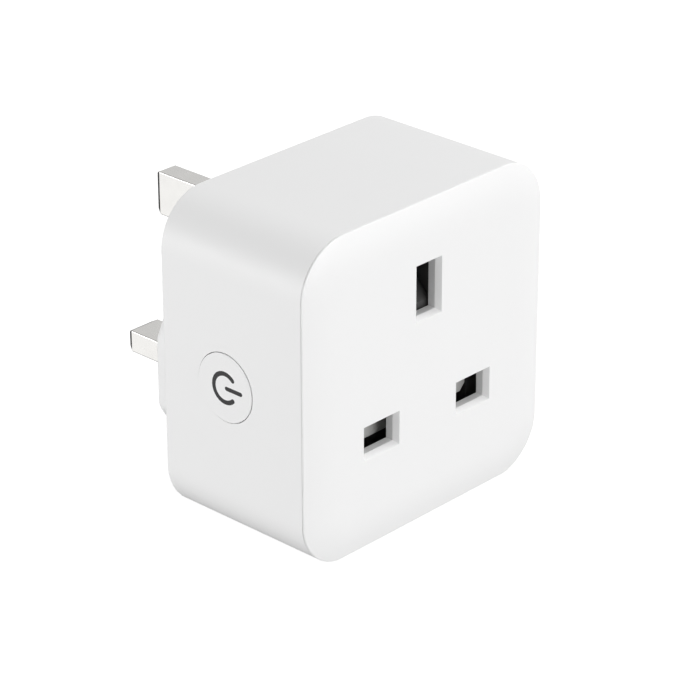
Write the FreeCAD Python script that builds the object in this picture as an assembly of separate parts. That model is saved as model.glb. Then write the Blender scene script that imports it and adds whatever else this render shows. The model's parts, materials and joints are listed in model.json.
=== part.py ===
"""UK three-pin smart plug, written as one STEP file per sub-part, in millimetres.

Frame: the origin is midway between the live and neutral pins, on the flat face that the pins
stand on. Seen from the socket side, +X is to the right, +Y runs into the wall and +Z is up.
Levels along Y are given as a depth behind the socket face, because every layer of the plug is
stacked from there; front() turns a depth into a y.
"""
import FreeCAD
import Part
import math
import os

Vector = FreeCAD.Vector

# ---------------------------------------------------------------- standard plug and socket
PIN_HALF_PITCH = 11.115         # live and neutral pins, either side of the centre
EARTH_HEIGHT = 22.23            # earth pin above the live and neutral line
EARTH_PIN = (4.0, 22.73, 8.0)   # x, length, z
POWER_PIN = (6.35, 17.7, 4.0)
PIN_TIP_LENGTH = 1.0
PIN_TIP_INSET = 0.55
PIN_EDGE_R = 0.25
PIN_FIT = 0.03                  # gap round a pin in its hole
SLEEVE_LENGTH = 9.5
SLEEVE_WALL = 0.4
EARTH_APERTURE = (5.07, 8.85)   # x, z of the straight part of the hole
POWER_APERTURE = (7.36, 4.94)
APERTURE_BEVEL = 0.55
APERTURE_BEVEL_DEPTH = 1.03

# ---------------------------------------------------------------- how solids are joined and cut
LAP = 0.1                       # how far a solid runs into the one it is joined to
CLEAR = 1.0                     # how far a cutting solid runs past what it cuts
NEAR = 1e-4                     # how close an edge lies to a level that it is on
QUARTER_BEND = 1 - math.sqrt(0.5)   # middle of a quarter round, from its corner, per radius

# ---------------------------------------------------------------- enclosure
BODY_DEPTH = 38.5               # socket face to plug face
CASE_SIZE = 57.0
CASE_CORNER_R = 9.2
CASE_CENTRE_Z = 9.13
CASE_WALL = 2.0
CASE_REAR = 32.2                # depth of the casing's rear face
CASE_REAR_EDGE_R = 0.5
CASE_RIM_EDGE_R = 0.15
CROWN_INSET = 6.5               # width of the cover's crowned border
CROWN_DROP = 0.78
COVER_EDGE_R = 0.22
COVER_RIM = 0.98                # depth where the cover's border ends
CASE_RIM = 1.08                 # depth where the casing starts
COVER_BACK = 2.44
COVER_SKIRT_END = 6.0
COVER_SKIRT_WALL = 1.2
COVER_FIT = 0.1
BOSS_HALF_OUTLINE = [           # x, z and corner radius, right-hand half, from the bottom up
    (18.4, -13.0, 5.0),
    (24.35, -2.7, 3.0),
    (24.35, 9.6, 3.0),
    (12.7, 33.0, 5.0),
]
BOSS_WALL = 1.8
BOSS_PLATE = 2.5
BOSS_EDGE_R = 0.8
BOSS_GAP = 0.12
COLLAR_FIT = 0.1
COLLAR_WALL = 1.2
BASE_FLANGE_WIDTH = 1.2
BASE_FLANGE = (28.4, 30.2)

# ---------------------------------------------------------------- button and switch
BUTTON_DEPTH = 17.9
BUTTON_Z = 8.92
BUTTON_R = 5.99
BUTTON_GAP = 0.12
BUTTON_PROUD = 0.15             # how far the cap stands out of the casing
BUTTON_EDGE_R = 0.1
BUTTON_FLANGE_R = 7.2
BUTTON_FLANGE = (-26.3, -25.6)  # x
BUTTON_STEM_R = 1.4
BUTTON_STEM_GAP = 0.05          # between the stem and the switch's plunger
BUTTON_GUIDE_R = 7.4
BUTTON_GUIDE_WALL = 0.9
BUTTON_GUIDE_END = -24.0        # x
BUTTON_GUIDE_BACK = 25.1        # depth where the guide is cut short of the main board
MARK_RING_R = 2.51
MARK_RING_STROKE = 0.8
MARK_GAP_HALF_ANGLE = 46.0
MARK_BAR_LENGTH = 3.9
MARK_BAR_STROKE = 0.75
MARK_THICKNESS = 0.12
SWITCH_SIZE = 6.0
SWITCH_X = (-23.3, -20.4)
PLUNGER_R = 1.75
PLUNGER_X = (-24.1, -22.3)
PLUNGER_FIT = 0.05
BUTTON_TRAVEL = 0.3
BUTTON_BOARD_X = (-20.4, -19.4)
BUTTON_BOARD_DEPTH = (4.2, 25.4)
BUTTON_BOARD_Z = (-5.0, 33.0)
BUTTON_BOARD_NOTCH = (21.9, 24.3)   # depth and z of the corner cut away for a lug and its screw

# ---------------------------------------------------------------- shutter
SHUTTER_TRAVEL = 5.5
SHUTTER_DEPTH = (4.9, 6.5)
SHUTTER_HALF_WIDTH = 14.65
SHUTTER_Z = (-2.55, 2.75)
SHUTTER_CORNER = (1.15, 1.25)
STEM_HALF_WIDTH = 3.2
STEM_GUSSET = (6.5, 6.0)        # x where the gusset starts, z where it ends
STEM_TOP = 15.0
TONGUE_HALF_WIDTH = 2.0
TONGUE_TOP = 18.0
CAM_NOSE = (2.9, 18.9)          # depth and z where the ramp starts
CAM_SLOPE = 1.06                # rise of the ramp over its depth
CAM_BACK = 8.0
CAM_SLACK = 0.03                # left between the cam's top and an earth pin's underside
SPRING_R = 1.1
SPRING_WIRE_R = 0.15
SPRING_TURNS = 8
SPRING_SEAT_Z = -14.8

# ---------------------------------------------------------------- socket carrier and contacts
CARRIER_FRONT = 7.0
CARRIER_FOOT_Z = -6.6
CARRIER_SHOULDER_Z = 9.0
CARRIER_TOP_Z = 28.9
CARRIER_HALF_WIDTH = 16.9
CARRIER_NECK_HALF_WIDTH = 7.0
CARRIER_WALL = 1.4
SIDE_RAIL_X = (15.0, 18.2)
SIDE_RAIL_DEPTH = (4.9, 9.0)
CAM_RAIL_X = (3.6, 5.4)
CAM_RAIL_FRONT = 3.2
CAM_RAIL_FOOT_Z = 12.5
CAM_SLOT_BACK = 8.6
CAM_SLOT_FOOT_Z = 8.5
WELL_CEILING_Z = 27.3
POWER_CAVITY = (8.2, 8.4)       # x, z
EARTH_CAVITY = (8.8, 10.1)
LUG_X = 22.3
LUG_Z = (24.6, 29.3)
LUG_THICKNESS = 1.8
SPRING_ARM_HALF_WIDTH = 3.0
SPRING_SEAT_THICKNESS = 1.0
SPRING_SEAT_FRONT = 4.2
LEAF = 0.7                      # contact metal thickness
JAW_GAP = 4.2                   # between the leaves, as wide as round a pin
POWER_JAW = (8.9, 19.6)
EARTH_JAW = (10.4, 23.3)
POWER_LEAF_WIDTH = 5.8
EARTH_LEAF_WIDTH = 7.3
JAW_LIP = 1.0
JAW_FLARE = 0.8
TAIL_WIDTH = 3.0
TAIL_END = 27.4

# ---------------------------------------------------------------- boards
BOARD = (25.4, 27.0)
BOARD_SIZE = 51.8
BOARD_CORNER_R = 6.6
SLOT_FIT = 0.2
BAR = (27.0, 27.8)              # busbars lie on the board's back
NEUTRAL_BAR_WIDTH = 6.4
NEUTRAL_BAR_Z = (-2.4, 4.2)
LIVE_CONTACT_BAR_OUTLINE = [    # x and z, from the socket contact down and round to the relay
    (8.4, 4.4),
    (17.6, 4.4),
    (17.6, -9.6),
    (9.2, -9.6),
    (9.2, -6.0),
    (14.4, -6.0),
    (14.4, 1.5),
    (8.4, 1.5),
]
LIVE_PIN_BAR_OUTLINE = [        # x and z, from the shunt resistor up to the live pin
    (2.8, -9.0),
    (8.2, -9.0),
    (8.2, -2.4),
    (13.6, -2.4),
    (13.6, 1.1),
    (5.4, 1.1),
    (5.4, -5.0),
    (2.8, -5.0),
]
SHOULDER = (34.3, 36.0)         # pin shoulders behind the boss plate
SHOULDER_MARGIN = 1.3
PIN_TAIL = (4.0, 1.2)
PIN_TAIL_FRONT = 24.8
EARTH_LINK_FEET = (24.0, 33.5)
EARTH_LINK_METAL = 0.8
EARTH_LINK_HEIGHT = 4.4
EARTH_LINK_FOOT_WIDTHS = (4.0, 6.0)
POST_R = 2.1
PILOT_R = 0.95
SCREW_HEAD_R = 1.8
SCREW_HEAD = 1.1
SCREW_HEAD_EDGE_R = 0.4
SCREW_RECESS = (2.0, 0.35)      # length and width of each stroke of the cross
SCREW_SHANK_R = 0.9
SCREW_FIT = 0.2
SCREW_END = 31.6
TOP_POST = (19.8, 27.0)         # x, z
FOOT_POST = (23.0, -13.8)
FOOT_POST_R = 1.9

# ---------------------------------------------------------------- relay
RELAY_X = (-9.2, 9.2)
RELAY_Z = (-17.0, -6.9)
RELAY_FRONT = 10.1
RELAY_BASE = (24.1, 25.4)
RELAY_WALL = 0.8
COIL_X = -3.4
COIL_SPAN = (14.9, 22.4)
BOBBIN_FLANGE = 0.7
BOBBIN_R = 3.7
BOBBIN_TUBE_R = 1.8
COIL_R = 3.4
CORE_R = 1.4
POLE_R = 2.4
POLE = (13.45, 14.1)
YOKE_HEEL_X = (-8.2, -7.25)
YOKE_METAL = 0.95
YOKE_HALF_WIDTH = 2.6
ARMATURE = (12.05, 12.98)
ARMATURE_TIP_X = 0.4
PIVOT_R = 0.2                   # ridge along the heel's inner edge that the armature rocks on
PIVOT_FIT = 0.04
HEEL_GAP = 0.02
BLADE_TIP_X = 7.6
BLADE = (11.75, 12.05)
BLADE_HALF_WIDTH = 1.6
CONTACT_X = 6.0
CONTACT_R = 1.5
MOVING_CONTACT = (12.05, 12.95)
FIXED_CONTACT = (14.0, 14.75)
FIXED_STRIP = (14.75, 15.45)

# ---------------------------------------------------------------- power supply and radio
INPUT_CAPACITOR = (-17.4, -11.3, 3.9, 12.4)     # x, z, radius, height above the board
OUTPUT_CAPACITOR = (10.6, 32.0, 2.5, 11.0)
CAN_EDGE_R = 0.5
CAN_GROOVE_UP = 1.6             # the groove's height above the board
CAN_GROOVE_R = 0.45
CAN_GROOVE_OUT = 0.15           # its centre's distance outside the can
CHOKE = (21.6, 19.0, 3.9, 9.5)
CHOKE_WAIST_R = 2.6
CHOKE_FLANGE = 1.3
CHOKE_WINDING_INSET = 0.4
FILM_CAPACITOR_X = (9.6, 20.8)
FILM_CAPACITOR_Z = (-15.4, -7.6)
FILM_CAPACITOR_HEIGHT = 11.0
FILM_CAPACITOR_EDGE_R = 0.4
WIRE_R = 0.35                   # legs of the varistor and the resistor
VARISTOR = (22.0, 19.9, -1.6, 3.9, 3.4)         # x, depth, z, radius, thickness
VARISTOR_EDGE_R = 1.2
VARISTOR_LEG_PITCH = 5.0
RESISTOR = (13.0, 14.6, 1.6, 8.6)               # x, z, radius, length
RESISTOR_EDGE_R = 0.6
RESISTOR_STANDOFF = 1.2
RESISTOR_WIRE_RISE = 0.8
RESISTOR_WIRE_SPREAD = 2.9
BRIDGE_X = (18.6, 24.6)
BRIDGE_Z = (5.4, 10.4)
BRIDGE_HEIGHT = 2.6
BRIDGE_STANDOFF = 0.2
BRIDGE_LEG = (0.8, 1.2, 1.0)                    # x, height, z
BRIDGE_LEG_INSET = 1.6
BRIDGE_LEG_OUT = 0.5
CHIP = (4.9, 1.5, 3.9)                          # x, height, z of a small eight-leg chip
CHIP_STANDOFF = 0.1
CHIP_LEGS = 4
CHIP_LEG_PITCH = 1.27
CHIP_LEG = (0.4, 1.0)
SUPPLY_CHIP_AT = (13.0, 21.0)                   # x, z on the board's front
METER_CHIP_AT = (-15.5, 9.5)                    # x, z on the board's back
SHUNT_X = (-3.6, 3.6)
SHUNT_Z = (-8.6, -5.4)
SHUNT_METAL = 0.6
SHUNT_RISE = 1.0
SHUNT_FOOT = 1.4
SHUNT_RAMP = 0.6
SHUNT_PAD_X = (-7.6, -2.8)
SHUNT_PAD_Z = (-9.0, -5.0)
MODULE_DEPTH = (4.9, 21.4)
MODULE_Z = (16.2, 31.6)
MODULE_X = (-21.2, -20.4)
SHIELD_DEPTH = (10.4, 20.8)
SHIELD_Z = (17.2, 30.6)
SHIELD_X = (-23.2, -21.2)
SHIELD_METAL = 0.2
SHIELD_EDGE_R = 0.3
TRACE_THICKNESS = 0.1
TRACE_WIDTH = 0.7
TRACE_RUNS = 7
TRACE_DEPTH = (5.5, 9.6)
TRACE_MARGIN = 0.8
LIGHT_DEPTH = (12.5, 13.7)
LIGHT_HEIGHT = 0.8
LIGHT_LENGTH = 2.0
HEADER_X = (-19.4, -17.2)
HEADER_PINS = 5
HEADER_PITCH = 2.54
HEADER_PIN = 0.6
HEADER_HEIGHT = 2.5
HEADER_PIN_UP = 1.5
HEADER_Z = -4.4                                 # z of the first pin


# ---------------------------------------------------------------- places and simple solids
def front(depth):
    """The y of a level that lies a depth behind the socket face."""
    return depth - BODY_DEPTH


def span(centre, size):
    """The low and high ends of a size centred on a value."""
    return centre - size / 2, centre + size / 2


def block(x, depth, z):
    """A box between a low and a high limit each way."""
    corner = Vector(x[0], front(depth[0]), z[0])
    return Part.makeBox(x[1] - x[0], depth[1] - depth[0], z[1] - z[0], corner)


def rod_x(x, depth, z, radius):
    """A cylinder along X between two x limits."""
    return Part.makeCylinder(radius, x[1] - x[0], Vector(x[0], front(depth), z), Vector(1, 0, 0))


def rod_y(x, depth, z, radius):
    """A cylinder along Y between two depths."""
    return Part.makeCylinder(radius, depth[1] - depth[0], Vector(x, front(depth[0]), z), Vector(0, 1, 0))


def rod_z(x, depth, z, radius):
    """A cylinder along Z between two z limits."""
    return Part.makeCylinder(radius, z[1] - z[0], Vector(x, front(depth), z[0]), Vector(0, 0, 1))


def joined(solids):
    """Solids fused into one, with the lines between flush faces removed."""
    whole = solids[0]
    for solid in solids[1:]:
        whole = whole.fuse(solid)
    return whole.removeSplitter()


def group(solids):
    """Separate solids that share a node."""
    return Part.makeCompound(solids)


def mirrored(shape):
    """The same shape on the other side of x = 0."""
    return shape.mirror(Vector(0, 0, 0), Vector(1, 0, 0))


def both_sides(shape):
    """A shape and its mirror image, as a list."""
    return [shape, mirrored(shape)]


def rounded_wire(corners, depth):
    """A closed wire at a depth, through (x, z, radius) corners, with an arc at each."""
    count = len(corners)
    starts = []
    ends = []
    middles = []
    for index, (x, z, radius) in enumerate(corners):
        here = Vector(x, front(depth), z)
        before = corners[index - 1]
        after = corners[(index + 1) % count]
        back = (Vector(before[0], front(depth), before[1]) - here).normalize()
        ahead = (Vector(after[0], front(depth), after[1]) - here).normalize()
        half_angle = back.getAngle(ahead) / 2
        inward = (back + ahead).normalize()
        starts.append(here + back * (radius / math.tan(half_angle)))
        ends.append(here + ahead * (radius / math.tan(half_angle)))
        middles.append(here + inward * (radius / math.sin(half_angle) - radius))
    edges = []
    for index in range(count):
        edges.append(Part.Arc(starts[index], middles[index], ends[index]).toShape())
        edges.append(Part.LineSegment(ends[index], starts[(index + 1) % count]).toShape())
    return Part.Wire(edges)


def rectangle(width, height, radius, centre_z):
    """Corners of a rounded rectangle centred on x = 0."""
    right = width / 2
    low, high = span(centre_z, height)
    return [(-right, low, radius), (right, low, radius), (right, high, radius), (-right, high, radius)]


def prism(wire, length):
    """A wire filled and pushed back along Y."""
    return Part.Face(wire).extrude(Vector(0, length, 0))


def rounded_prism(corners, depth):
    """A rounded outline between two depths."""
    return prism(rounded_wire(corners, depth[0]), depth[1] - depth[0])


def plate_y(points, depth):
    """A flat plate with straight (x, z) edges between two depths."""
    outline = [Vector(x, front(depth[0]), z) for x, z in points]
    return prism(Part.makePolygon(outline + outline[:1]), depth[1] - depth[0])


def plate_x(points, x):
    """A plate with straight (depth, z) edges between two x limits."""
    outline = [Vector(x[0], front(depth), z) for depth, z in points]
    return Part.Face(Part.makePolygon(outline + outline[:1])).extrude(Vector(x[1] - x[0], 0, 0))


def plate_z(points, z):
    """A plate with straight (x, depth) edges between two z limits."""
    outline = [Vector(x, front(depth), z[0]) for x, depth in points]
    return Part.Face(Part.makePolygon(outline + outline[:1])).extrude(Vector(0, 0, z[1] - z[0]))


def folded(path, thickness):
    """The outline of sheet metal bent along a path, with its thickness on the path's left."""
    offset = []
    for index, (a, b) in enumerate(path):
        directions = []
        if index > 0:
            directions.append(Vector(a - path[index - 1][0], b - path[index - 1][1], 0).normalize())
        if index < len(path) - 1:
            directions.append(Vector(path[index + 1][0] - a, path[index + 1][1] - b, 0).normalize())
        normals = [Vector(-d.y, d.x, 0) for d in directions]
        mitre = (normals[0] + normals[-1]).normalize()
        reach = thickness / mitre.dot(normals[0])
        offset.append((a + mitre.x * reach, b + mitre.y * reach))
    return path + offset[::-1]


def edges_at_depth(shape, depth):
    """A shape's edges that lie wholly at one depth."""
    level = front(depth)
    return [edge for edge in shape.Edges
            if abs(edge.BoundBox.YMin - level) < NEAR and abs(edge.BoundBox.YMax - level) < NEAR]


# ---------------------------------------------------------------- enclosure
def crown_depth(inset):
    """Depth of the cover's crowned border, an arc that is level where the flat face starts."""
    radius = (CROWN_INSET ** 2 + CROWN_DROP ** 2) / (2 * CROWN_DROP)
    return radius - math.sqrt(radius ** 2 - (CROWN_INSET - inset) ** 2)


def profile_point(inset, depth):
    """A point of a border profile, on the casing's right-hand side."""
    return Vector(CASE_SIZE / 2 - inset, front(depth), CASE_CENTRE_Z)


def profile_line(start, end):
    """A straight edge of a border profile."""
    return Part.LineSegment(profile_point(*start), profile_point(*end)).toShape()


def profile_arc(start, middle, end):
    """A round edge of a border profile."""
    return Part.Arc(profile_point(*start), profile_point(*middle), profile_point(*end)).toShape()


def border(edges):
    """A profile carried round the rounded square: a straight and a corner, four times."""
    face = Part.Face(Part.Wire(edges))
    straight = CASE_SIZE - 2 * CASE_CORNER_R
    low = face.copy()
    low.translate(Vector(0, 0, -straight / 2))
    high = face.copy()
    high.translate(Vector(0, 0, straight / 2))
    pivot = Vector(straight / 2, 0, CASE_CENTRE_Z + straight / 2)
    quarter = [low.extrude(Vector(0, 0, straight)), high.revolve(pivot, Vector(0, -1, 0), 90)]
    pieces = []
    for turn in range(4):
        for solid in quarter:
            copy = solid.copy()
            copy.rotate(Vector(0, 0, CASE_CENTRE_Z), Vector(0, 1, 0), 90 * turn)
            pieces.append(copy)
    return joined(pieces)


def case_outline(inset):
    """The casing's rounded square, drawn in by an inset."""
    size = CASE_SIZE - 2 * inset
    return rectangle(size, size, CASE_CORNER_R - inset, CASE_CENTRE_Z)


def case_span():
    """The casing's lowest and highest z."""
    return span(CASE_CENTRE_Z, CASE_SIZE)


def boss_outline():
    """The plug boss's outline, both halves."""
    right = list(BOSS_HALF_OUTLINE)
    left = [(-x, z, radius) for x, z, radius in reversed(right)]
    return right + left


def boss_prism(growth, depth):
    """The plug boss's outline, grown all round, between two depths."""
    wire = rounded_wire(boss_outline(), depth[0])
    if growth:
        wire = wire.makeOffset2D(growth)
    return prism(wire, depth[1] - depth[0])


def aperture(size, x, z):
    """A socket hole: a bevel that narrows inwards, then a straight throat through the cover."""
    overshoot = 0.3
    slope = APERTURE_BEVEL / APERTURE_BEVEL_DEPTH
    mouth = 2 * (APERTURE_BEVEL + slope * overshoot)
    wires = []
    for depth, growth in ((-overshoot, mouth), (APERTURE_BEVEL_DEPTH, 0)):
        left, right = span(x, size[0] + growth)
        low, high = span(z, size[1] + growth)
        points = [Vector(px, front(depth), pz) for px, pz in
                  ((left, low), (right, low), (right, high), (left, high))]
        wires.append(Part.makePolygon(points + points[:1]))
    throat_depth = (APERTURE_BEVEL_DEPTH - overshoot, COVER_BACK + overshoot)
    throat = block(span(x, size[0]), throat_depth, span(z, size[1]))
    return Part.makeLoft(wires, True, True).fuse(throat)


def make_front_cover():
    """The socket face: a crowned square plate with a skirt that drops inside the casing."""
    bend = COVER_EDGE_R * QUARTER_BEND
    shoulder = crown_depth(COVER_EDGE_R)
    middle = CROWN_INSET / 2
    edges = [
        profile_arc((CROWN_INSET, 0), (middle, crown_depth(middle)), (COVER_EDGE_R, shoulder)),
        profile_arc((COVER_EDGE_R, shoulder), (bend, shoulder + bend), (0, shoulder + COVER_EDGE_R)),
        profile_line((0, shoulder + COVER_EDGE_R), (0, COVER_RIM)),
        profile_line((0, COVER_RIM), (CROWN_INSET, COVER_RIM)),
        profile_line((CROWN_INSET, COVER_RIM), (CROWN_INSET, 0)),
    ]
    inner = CASE_WALL + COVER_FIT
    skirt = rounded_prism(case_outline(inner), (COVER_RIM - LAP, COVER_SKIRT_END))
    hollow = rounded_prism(case_outline(inner + COVER_SKIRT_WALL), (COVER_BACK, COVER_SKIRT_END))
    middle_plate = rounded_prism(case_outline(CROWN_INSET), (0, COVER_RIM))
    cover = joined([border(edges), middle_plate, skirt.cut(hollow)])
    cover = cover.cut(aperture(EARTH_APERTURE, 0, EARTH_HEIGHT))
    for x in (-PIN_HALF_PITCH, PIN_HALF_PITCH):
        cover = cover.cut(aperture(POWER_APERTURE, x, 0))
    return cover


def screw_posts():
    """Where the four posts stand: x, z and radius."""
    top_x, top_z = TOP_POST
    foot_x, foot_z = FOOT_POST
    return [(side * x, z, radius) for side in (-1, 1)
            for x, z, radius in ((top_x, top_z, POST_R), (foot_x, foot_z, FOOT_POST_R))]


def casing_border():
    """The casing's side wall, with its two edge rounds."""
    edge = CASE_REAR_EDGE_R
    rim = CASE_RIM_EDGE_R
    bend = edge * QUARTER_BEND
    rim_bend = rim * QUARTER_BEND
    return border([
        profile_line((CASE_WALL, CASE_RIM), (rim, CASE_RIM)),
        profile_arc((rim, CASE_RIM), (rim_bend, CASE_RIM + rim_bend), (0, CASE_RIM + rim)),
        profile_line((0, CASE_RIM + rim), (0, CASE_REAR - edge)),
        profile_arc((0, CASE_REAR - edge), (bend, CASE_REAR - bend), (edge, CASE_REAR)),
        profile_line((edge, CASE_REAR), (CASE_WALL, CASE_REAR)),
        profile_line((CASE_WALL, CASE_REAR), (CASE_WALL, CASE_RIM)),
    ])


def make_body_casing():
    """The square sleeve with its rear wall, button guide and screw posts."""
    wall_outside = -CASE_SIZE / 2
    wall_inside = wall_outside + CASE_WALL
    rear_front = CASE_REAR - CASE_WALL
    rear_wall = rounded_prism(case_outline(CASE_REAR_EDGE_R), (rear_front, CASE_REAR))
    guide_x = (wall_inside, BUTTON_GUIDE_END)
    guide_r = BUTTON_GUIDE_R + BUTTON_GUIDE_WALL
    guide = rod_x((wall_inside - LAP, BUTTON_GUIDE_END), BUTTON_DEPTH, BUTTON_Z, guide_r)
    guide = guide.cut(block(guide_x, (BUTTON_GUIDE_BACK, CASE_REAR), case_span()))
    posts = [rod_y(x, (BOARD[1], rear_front + LAP), z, radius) for x, z, radius in screw_posts()]
    casing = joined([casing_border(), rear_wall, guide] + posts)
    bore = rod_x(guide_x, BUTTON_DEPTH, BUTTON_Z, BUTTON_GUIDE_R)
    hole_x = (wall_outside - CLEAR, wall_inside + CLEAR)
    hole = rod_x(hole_x, BUTTON_DEPTH, BUTTON_Z, BUTTON_R + BUTTON_GAP)
    casing = casing.cut(bore).cut(hole)
    casing = casing.cut(boss_prism(BOSS_GAP, (rear_front - CLEAR, CASE_REAR + CLEAR)))
    for x, z, _ in screw_posts():
        casing = casing.cut(rod_y(x, (BOARD[1] - CLEAR, SCREW_END + LAP), z, PILOT_R))
    return casing


def pin_collar(size, x, z):
    """A wall round a pin's shoulder, inside the boss, and the shoulder's own space."""
    wide = size[0] + 2 * SHOULDER_MARGIN + COLLAR_FIT
    tall = size[2] + 2 * SHOULDER_MARGIN + COLLAR_FIT
    outer = block(span(x, wide + 2 * COLLAR_WALL), SHOULDER, span(z, tall + 2 * COLLAR_WALL))
    return outer.cut(block(span(x, wide), SHOULDER, span(z, tall)))


def pin_hole(size, x, z):
    """The hole through the boss plate that a pin passes, with its fit."""
    through = (BODY_DEPTH - BOSS_PLATE - CLEAR / 2, BODY_DEPTH + CLEAR)
    return block(span(x, size[0] + 2 * PIN_FIT), through, span(z, size[2] + 2 * PIN_FIT))


def make_rear_base():
    """The plug boss: a cup with a thick pin plate, flanged where it sits inside the casing."""
    outer = boss_prism(0, (BASE_FLANGE[0], BODY_DEPTH))
    outer = outer.makeFillet(BOSS_EDGE_R, edges_at_depth(outer, BODY_DEPTH))
    flange = boss_prism(BASE_FLANGE_WIDTH, BASE_FLANGE)
    hollow = boss_prism(-BOSS_WALL, (BASE_FLANGE[0] - CLEAR, BODY_DEPTH - BOSS_PLATE))
    base = joined([outer, flange]).cut(hollow)
    collars = [pin_collar(EARTH_PIN, 0, EARTH_HEIGHT)]
    collars += both_sides(pin_collar(POWER_PIN, PIN_HALF_PITCH, 0))
    base = joined([base] + collars)
    holes = [pin_hole(EARTH_PIN, 0, EARTH_HEIGHT)]
    holes += both_sides(pin_hole(POWER_PIN, PIN_HALF_PITCH, 0))
    for hole in holes:
        base = base.cut(hole)
    return base


# ---------------------------------------------------------------- plug pins
def pin_section(size, x, z, shrink):
    """Corners of a pin's rounded cross-section, drawn in all round by a shrink."""
    corners = rectangle(size[0] - 2 * shrink, size[2] - 2 * shrink, PIN_EDGE_R, z)
    return [(cx + x, cz, radius) for cx, cz, radius in corners]


def pin_blade(size, x, z, start):
    """The free end of a pin, from a depth to its bevelled tip."""
    tip = BODY_DEPTH + size[1]
    shaft = rounded_prism(pin_section(size, x, z, 0), (start, tip - PIN_TIP_LENGTH))
    wires = [
        rounded_wire(pin_section(size, x, z, 0), tip - PIN_TIP_LENGTH),
        rounded_wire(pin_section(size, x, z, PIN_TIP_INSET), tip),
    ]
    return [shaft, Part.makeLoft(wires, True, True)]


def pin_shoulder(size, x, z):
    """The wide head that stops a pin behind the boss plate."""
    return block(span(x, size[0] + 2 * SHOULDER_MARGIN), SHOULDER, span(z, size[2] + 2 * SHOULDER_MARGIN))


def make_earth_pin():
    """The long solid earth pin."""
    plate_front = BODY_DEPTH - BOSS_PLATE
    shoulder = pin_shoulder(EARTH_PIN, 0, EARTH_HEIGHT)
    return joined([shoulder] + pin_blade(EARTH_PIN, 0, EARTH_HEIGHT, plate_front))


def make_power_pin(x):
    """A live or neutral pin, thinned where its sleeve goes, with a tail for the board."""
    plate_front = BODY_DEPTH - BOSS_PLATE
    sleeve_end = BODY_DEPTH + SLEEVE_LENGTH
    neck = rounded_prism(pin_section(POWER_PIN, x, 0, SLEEVE_WALL), (plate_front, sleeve_end))
    tail = block(span(x, PIN_TAIL[0]), (PIN_TAIL_FRONT, SHOULDER[0]), span(0, PIN_TAIL[1]))
    return joined([pin_shoulder(POWER_PIN, x, 0), tail, neck] + pin_blade(POWER_PIN, x, 0, sleeve_end))


def make_pin_sleeve(x):
    """The insulating sleeve round the root of a live or neutral pin."""
    reach = (BODY_DEPTH - BOSS_PLATE, BODY_DEPTH + SLEEVE_LENGTH)
    outer = rounded_prism(pin_section(POWER_PIN, x, 0, 0), reach)
    return outer.cut(rounded_prism(pin_section(POWER_PIN, x, 0, SLEEVE_WALL), reach))


# ---------------------------------------------------------------- button and switch
def button_face_x():
    """Where the button's face stands, a little proud of the casing."""
    return -CASE_SIZE / 2 - BUTTON_PROUD


def mark_ring():
    """The open ring of the power mark, with round ends either side of its gap."""
    x = button_face_x()
    inner = MARK_RING_R - MARK_RING_STROKE / 2
    outer = MARK_RING_R + MARK_RING_STROKE / 2

    def at(radius, degrees):
        """A point at an angle from the gap's middle, which faces the socket side."""
        angle = math.radians(degrees)
        y = front(BUTTON_DEPTH) - radius * math.cos(angle)
        return Vector(x, y, BUTTON_Z + radius * math.sin(angle))

    start = MARK_GAP_HALF_ANGLE
    end = 360 - MARK_GAP_HALF_ANGLE
    cap = math.degrees(MARK_RING_STROKE / 2 / MARK_RING_R)
    edges = [
        Part.Arc(at(outer, start), at(outer, 180), at(outer, end)).toShape(),
        Part.Arc(at(outer, end), at(MARK_RING_R, end + cap), at(inner, end)).toShape(),
        Part.Arc(at(inner, end), at(inner, 180), at(inner, start)).toShape(),
        Part.Arc(at(inner, start), at(MARK_RING_R, start - cap), at(outer, start)).toShape(),
    ]
    return Part.Face(Part.Wire(edges)).extrude(Vector(MARK_THICKNESS, 0, 0))


def mark_bar():
    """The short bar of the power mark, from the ring's centre out through its gap."""
    x = (button_face_x(), button_face_x() + MARK_THICKNESS)
    half = MARK_BAR_STROKE / 2
    ends = (BUTTON_DEPTH - MARK_BAR_LENGTH + half, BUTTON_DEPTH - half)
    caps = [rod_x(x, depth, BUTTON_Z, half) for depth in ends]
    return joined([block(x, ends, span(BUTTON_Z, MARK_BAR_STROKE))] + caps)


def make_power_mark():
    """The dark power mark set into the button."""
    return group([mark_ring(), mark_bar()])


def make_power_button():
    """The round button: a cap just proud of the casing, a flange behind it and a short stem."""
    face_x = button_face_x()
    cap = rod_x((face_x, BUTTON_FLANGE[1]), BUTTON_DEPTH, BUTTON_Z, BUTTON_R)
    rim = [edge for edge in cap.Edges if edge.BoundBox.XMax < face_x + NEAR]
    cap = cap.makeFillet(BUTTON_EDGE_R, rim)
    flange = rod_x(BUTTON_FLANGE, BUTTON_DEPTH, BUTTON_Z, BUTTON_FLANGE_R)
    stem_x = (BUTTON_FLANGE[1], PLUNGER_X[0] - BUTTON_STEM_GAP)
    stem = rod_x(stem_x, BUTTON_DEPTH, BUTTON_Z, BUTTON_STEM_R)
    button = joined([cap, flange, stem])
    return button.cut(mark_ring()).cut(mark_bar())


def make_switch_body():
    """The square body of the tactile switch, with the plunger's well."""
    body = block(SWITCH_X, span(BUTTON_DEPTH, SWITCH_SIZE), span(BUTTON_Z, SWITCH_SIZE))
    floor = PLUNGER_X[1] + BUTTON_TRAVEL + 2 * PLUNGER_FIT
    well = rod_x((SWITCH_X[0], floor), BUTTON_DEPTH, BUTTON_Z, PLUNGER_R + PLUNGER_FIT)
    return body.cut(well)


def make_switch_plunger():
    """The tactile switch's round plunger."""
    return rod_x(PLUNGER_X, BUTTON_DEPTH, BUTTON_Z, PLUNGER_R)


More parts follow.
